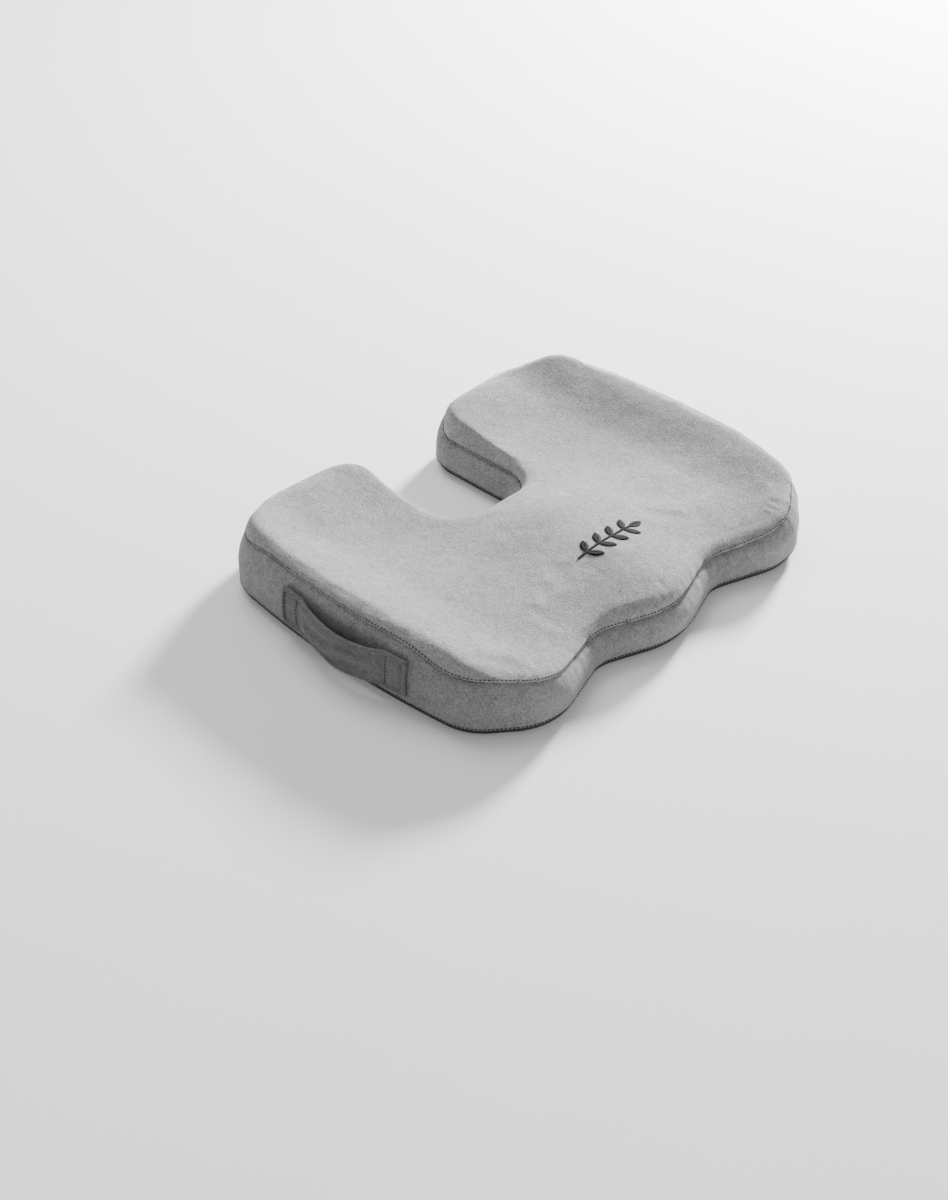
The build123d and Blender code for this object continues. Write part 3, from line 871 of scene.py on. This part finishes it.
def inOutline(x, y, closed):
    # counts how many edges of the closed outline lie to the right of the point
    a, b = closed[:-1], closed[1:]
    crossing = (a[:, 1] > y) != (b[:, 1] > y)
    span = np.where(b[:, 1] == a[:, 1], 1.0, b[:, 1] - a[:, 1])
    return np.sum(crossing & (x < a[:, 0] + (y - a[:, 1]) * (b[:, 0] - a[:, 0]) / span)) % 2 == 1


def onLabel(x, y):
    margin = grip["labelMargin"]
    across = labelLow.x - margin < x < labelHigh.x + margin
    return across and labelLow.y - margin < y < labelHigh.y + margin


def makeGripDots():
    # staggered rows of dots inside the panel's edge, clear of the care label
    inner = ringAt(cover["wallBulge"] + grip["margin"])
    parts = []
    row = 0
    y = -plan["halfDepth"]
    closed = np.concatenate([inner, inner[:1]])
    while y < plan["halfDepth"]:
        x = -plan["halfWidth"] + (row % 2) * grip["pitch"] / 2
        while x < plan["halfWidth"]:
            if inOutline(x, y, closed) and not onLabel(x, y):
                parts.append(dome(x, y))
            x += grip["pitch"]
        row += 1
        y += grip["pitch"] * 0.866
    piece = makePiece("gripDots", *gather(parts), "grip", "grip")
    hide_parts("grip_dots")


def dome(x, y):
    # a rubber dot hanging from the bottom panel to the resting surface
    rings = []
    root = bottomZ + grip["sunk"]
    around = np.arange(grip["sides"]) * 2 * math.pi / grip["sides"]
    for ring in range(grip["rings"] + 1):
        turn = ring / grip["rings"] * grip["turn"]
        radius = grip["radius"] * math.cos(turn)
        z = np.full(grip["sides"], root - root * math.sin(turn) / math.sin(grip["turn"]))
        rings.append(np.column_stack([x + radius * np.cos(around), y + radius * np.sin(around), z]))
    faces = [tuple(reversed(face)) for face in stitchRow(rings, True)]
    last = grip["rings"] * grip["sides"]
    faces.append(tuple(range(grip["sides"])))
    faces.append(tuple(last + k for k in reversed(range(grip["sides"]))))
    return np.concatenate(rings), faces


labelLow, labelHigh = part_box("care_label")
label = {
    "columns": 44, "rows": 28, "ripple": 0.00022, "rippleScale": 160, "hem": 0.002, "hemDepth": 0.00018,
    "lift": 0.00025, "thickness": 0.00035,
}


def makeLabel():
    # woven label under the rear edge, its short hems turned under and a little rippled
    rings = []
    for row in range(label["rows"] + 1):
        y = labelLow.y + (labelHigh.y - labelLow.y) * row / label["rows"]
        ring = []
        for column in range(label["columns"] + 1):
            x = labelLow.x + (labelHigh.x - labelLow.x) * column / label["columns"]
            edge = min(x - labelLow.x, labelHigh.x - x)
            spot = Vector((x * label["rippleScale"], y * label["rippleScale"], 2.0))
            ripple = noise.noise(spot) * label["ripple"]
            hem = -label["hemDepth"] if edge < label["hem"] else 0.0
            ring.append((x, y, labelLow.z + label["lift"] + ripple + hem))
        rings.append(np.array(ring))
    faces = [face[::-1] for face in stitchRow(rings, False)]
    piece = makePiece("careLabel", np.concatenate(rings), faces, "label", "label")
    giveThickness(piece, label["thickness"])
    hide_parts("care_label")


frontEnd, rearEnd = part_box("strap_end_front"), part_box("strap_end_rear")
handle = {
    "thickness": 0.0030, "bulge": 0.0080, "sag": 0.0040, "topZ": frontEnd[1].z, "height": 0.0352,
    "columns": 96, "across": 22, "edgeRound": 0.5, "edgeReach": 0.0013, "wave": 0.0013, "wallTop": 0.046,
    "ridge": 0.0013, "ridgeAt": (0.0014, 0.0013), "grooveAt": (0.0042, 0.0008),
    "endSeam": 0.0007, "endSeamAt": (0.0, 0.0010), "droop": 0.0012, "puff": 0.0007, "proud": 0.0003,
    "boxFront": 0.0042, "boxRear": 0.0030, "boxEdges": (0.12, 0.88), "blendRun": 0.040,
    "stitchBoxes": {
        "handleStitchFront": ("strap_stitch_front", frontEnd),
        "handleStitchRear": ("strap_stitch_rear", rearEnd),
    },
}


def leftWall(y, z):
    # x of the left wall at this height
    top = float(seamHeight(np.array([-plan["halfWidth"]]), np.array([y]))[0])
    share = (z - bottomZ) / (top - bottomZ)
    upper = min(max((share - form["seamInsetFrom"]) / (1 - form["seamInsetFrom"]), 0), 1)
    return -(sidePoint(y)[0] - form["seamInset"] * upper**2)


def strapSpan(y):
    # 0 on the sewn ends, 1 at the middle of the free stretch
    low, high = frontEnd[1].y, rearEnd[0].y
    share = min(max((y - low) / (high - low), 0), 1)
    return 1 - (2 * share - 1) ** 2


def hump(distance, place, reach):
    return math.exp(-(((distance - place) / reach) ** 2))


def strapFolds(y, across, ease):
    # soft creases all over, and lengthwise folds where the strap is free
    folds = noise.noise(Vector((y * 17, across * 3.4, 4.0)))
    folds += 0.5 * noise.noise(Vector((y * 34, across * 8.0, 9.0)))
    drift = 0.10 * math.sin(y * 31 + 0.6) + 0.06 * math.sin(y * 70)
    return folds + 0.9 * math.cos(2 * math.pi * 2.1 * (across + drift)) * ease


def strapPoint(y, across, side):
    # across runs from 0 at the lower edge to 1 at the top; side is 1 outside and 0 inside
    free = strapSpan(y)
    ease = smoothStep(0.0, 0.55, free)
    z = handle["topZ"] - handle["sag"] * free - handle["height"] * (1 - across) * (1 - 0.05 * free)
    droop = handle["droop"] * ease * (1 - across)
    stand = handle["proud"] + handle["bulge"] * free ** 0.85 - droop
    flat = min(across, 1 - across) * handle["height"]
    endGap = min(y - frontEnd[0].y, rearEnd[1].y - y)
    seamGap = min(abs(y - frontEnd[1].y), abs(y - rearEnd[0].y))
    rim = min(flat, endGap)
    ridge = handle["ridge"] * (hump(rim, *handle["ridgeAt"]) - 0.9 * hump(rim, *handle["grooveAt"]))
    ridge -= handle["endSeam"] * hump(seamGap, *handle["endSeamAt"]) * side
    puff = handle["puff"] * (1 - (2 * across - 1) ** 4)
    x = leftWall(y, min(z, handle["wallTop"])) - stand - side * (handle["thickness"] + ridge + puff)
    x -= (0.25 + 0.75 * ease) * handle["wave"] * strapFolds(y, across, ease) * (0.35 + 0.65 * side)
    edge = max(0.0, 1 - flat / handle["edgeReach"])
    x += (1 if side else -1) * handle["thickness"] * handle["edgeRound"] * edge**2
    return x, y, z


def strapHalf(name, nodeNames, fromY, toY):
    # half of the strap, blended from its sewn end to the part that lifts
    columns = []
    count = handle["columns"] // 2
    for column in range(count + 1):
        y = fromY + (toY - fromY) * column / count
        ring = [strapPoint(y, k / handle["across"], 1) for k in range(handle["across"] + 1)]
        ring += [strapPoint(y, 1 - k / handle["across"], 0) for k in range(handle["across"] + 1)]
        columns.append(np.array(ring))
    size = len(columns[0])
    points = np.concatenate(columns)
    faces = stitchRow(columns, True)
    faces.append(tuple(range(size)))
    faces.append(tuple(len(points) - size + k for k in reversed(range(size))))
    piece = makePiece(name, points, faces, "strap", "band_velour", body=None)
    bm = bmesh.new()
    bm.from_mesh(piece.data)
    bmesh.ops.recalc_face_normals(bm, faces=bm.faces)
    bm.to_mesh(piece.data)
    bm.free()
    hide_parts(*nodeNames)
    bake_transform(piece)


def stitchBox(name, node, ends):
    # a rectangle of stitches on a sewn end
    lowY, highY = ends[0].y + handle["boxFront"], ends[1].y - handle["boxRear"]
    low, high = handle["boxEdges"]
    box = [(lowY, low), (highY, low), (highY, high), (lowY, high), (lowY, low)]
    line = []
    for (fromY, fromAcross), (toY, toAcross) in zip(box, box[1:]):
        for k in range(24):
            across = fromAcross + (toAcross - fromAcross) * k / 24
            line.append(strapPoint(fromY + (toY - fromY) * k / 24, across, 1))
    line = np.array(line) + (-seam["proud"], 0, 0)
    away = np.tile([-1.0, 0.0, 0.0], (len(line), 1))
    piece = makePiece(name, *stitches(line, away), "boxThread", "thread")
    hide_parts(node)


def makeHandle():
    frontY, rearY = frontEnd[1].y, rearEnd[0].y
    middleY = (frontY + rearY) / 2
    frontNodes, rearNodes = ("strap_end_front", "carry_strap"), ("strap_end_rear", "carry_strap")
    strapHalf("handleFront", frontNodes, frontEnd[0].y, middleY)
    strapHalf("handleRear", rearNodes, rearEnd[1].y, middleY)
    for name, (node, ends) in handle["stitchBoxes"].items():
        stitchBox(name, node, ends)


sprigLow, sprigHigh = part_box("sprig_emblem")
sprig = {
    "pairs": 4, "firstPair": 0.16, "pairStep": 0.24, "leafLength": 0.0150, "leafWidth": 0.0065,
    "angle": math.radians(52), "stemWidth": 0.0018, "thread": 0.00042, "flatten": 0.85, "pitch": 0.00066,
    "raise": 0.0007, "slant": math.radians(38), "steps": 6,
}


def draped(x, y, lift):
    # points on the settled cover, raised by lift
    down, above = Vector((0, 0, -1)), 0.2
    heights = [topSurface.ray_cast(Vector((a, b, above)), down)[0].z for a, b in zip(x, y)]
    return np.column_stack([x, y, np.array(heights) + lift])


def leafThreads(base, angle):
    # satin stitches slanting from the leaf's middle line to its edges
    parts = []
    length, width = sprig["leafLength"], sprig["leafWidth"]
    along = np.array([math.cos(angle), math.sin(angle)])
    across = np.array([-along[1], along[0]])
    count = int(length / sprig["pitch"])
    for k in range(count):
        share = (k + 0.5) / count
        for side in (-1, 1):
            reach = width / 2 * math.sin(math.pi * share**0.8) ** 0.8 + 0.0003
            slanted = along * math.cos(sprig["slant"]) * 0.55 + across * side
            root = base + along * length * share * 0.94
            tip = root + slanted * reach
            flat = root + (tip - root) * np.linspace(0, 1, sprig["steps"])[:, None]
            arch = sprig["raise"] * np.sin(np.linspace(0.30, 0.92, sprig["steps"]) * math.pi)
            path = draped(flat[:, 0], flat[:, 1], arch)
            parts.append(tube(path, sprig["thread"], 6, sprig["flatten"]))
    return parts


def makeSprig():
    # a stem of short cross stitches, pairs of leaves along it and one at its tip
    middleY = (sprigLow.y + sprigHigh.y) / 2
    stemStart = sprigLow.x
    stemLength = sprigHigh.x - sprigLow.x - sprig["leafLength"]
    parts = []
    count = int(stemLength / sprig["pitch"])
    for k in range(count):
        x = stemStart + stemLength * (k + 0.5) / count
        lean = np.linspace(-1, 1, sprig["steps"])
        arch = sprig["raise"] * np.cos(lean * 1.1)
        path = draped(x + lean * 0.0006, middleY + lean * sprig["stemWidth"] / 2, arch)
        parts.append(tube(path, sprig["thread"], 6, sprig["flatten"]))
    for pair in range(sprig["pairs"]):
        x = stemStart + stemLength * (sprig["firstPair"] + sprig["pairStep"] * pair)
        for side in (-1, 1):
            base = np.array([x, middleY + side * sprig["stemWidth"] / 2])
            parts += leafThreads(base, side * sprig["angle"])
    parts += leafThreads(np.array([stemStart + stemLength, middleY]), 0.0)
    piece = makePiece("sprigEmblem", *gather(parts), "emblem", "emblem")
    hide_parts("sprig_emblem")


makeSeams()
makeZip()
makeGripDots()
makeLabel()
makeHandle()
makeSprig()
print("trim made")

# the zip's tapes and hardware are the frame's own nodes with these finishes
nodeFinishes = {
    "zip_tape_upper": "tape", "zip_tape_lower": "tape", "zip_stop_front": "metal", "zip_stop_rear": "metal",
    "zip_slider": "metal", "zip_pull": "metal",
}
for node, finish in nodeFinishes.items():
    for materialSlot in nodes[node].material_slots:
        materialSlot.material = finishes[finish]

# the camera, the lights and the floor, in metres from the middle of the cushion
view = {
    "place": (-1.1443, -1.0405, 1.1275), "look": (0.57367, 0.55223, -0.60493),
    "right": (0.69600, -0.71803, 0.00457), "lens": 65.1, "sensor": 36.0,
    "sky": 0.36, "floorHalf": 6.0, "floorGlow": 0.12, "aim": (0, 0, 0.03),
    "lights": {
        "key": {"place": (2.05, 0.55, 0.95), "size": 0.45, "power": 245},
        "over": {"place": (0.3, 1.1, 2.2), "size": 1.8, "power": 36},
        "front": {"place": (0.5, -2.4, 1.0), "size": 1.2, "power": 5},
    },
}


def aimed(right, look):
    right, look = Vector(right).normalized(), Vector(look).normalized()
    up = right.cross(look)
    return Matrix((right, up, -look)).transposed()


def makeCamera():
    data = bpy.data.cameras.new("camera")
    data.lens = view["lens"]
    data.sensor_width = view["sensor"]
    data.sensor_fit = "AUTO"
    camera = bpy.data.objects.new("camera", data)
    bpy.context.scene.collection.objects.link(camera)
    camera.matrix_world = Matrix.Translation(view["place"]) @ aimed(view["right"], view["look"]).to_4x4()
    bpy.context.scene.camera = camera


def makeLight(name, place, size, power):
    data = bpy.data.lights.new(name, "AREA")
    data.shape = "DISK"
    data.size = size
    data.energy = power
    light = bpy.data.objects.new(name, data)
    bpy.context.scene.collection.objects.link(light)
    light.location = place
    toward = Vector(view["aim"]) - Vector(place)
    light.rotation_euler = toward.to_track_quat("-Z", "Y").to_euler()


def makeFloor():
    half = view["floorHalf"]
    mesh = bpy.data.meshes.new("floor")
    corners = [(-half, -half, 0), (half, -half, 0), (half, half, 0), (-half, half, 0)]
    mesh.from_pydata(corners, [], [(0, 1, 2, 3)])
    finish = Finish("paleFloor")
    tone = finish.noise(3, 3.0)
    colour = finish.blend(finish.ramp(tone, 0.3, 0.7), grey(0.90), grey(0.93))
    material = finish.surface(
        colour, 0.9, finish.bump(finish.noise(300), 0.05, 0.0002),
        Specular_IOR_Level=0.1, Emission_Color=(1, 1, 1, 1), Emission_Strength=view["floorGlow"],
    )
    mesh.materials.append(material)
    floor = bpy.data.objects.new("floor", mesh)
    bpy.context.scene.collection.objects.link(floor)


def makeSky():
    world = bpy.data.worlds.new("softSky")
    world.use_nodes = True
    background = world.node_tree.nodes["Background"]
    background.inputs["Color"].default_value = (1.0, 1.0, 1.0, 1)
    background.inputs["Strength"].default_value = view["sky"]
    bpy.context.scene.world = world


makeCamera()
makeFloor()
makeSky()
for name, light in view["lights"].items():
    makeLight(name + "Light", light["place"], light["size"], light["power"])
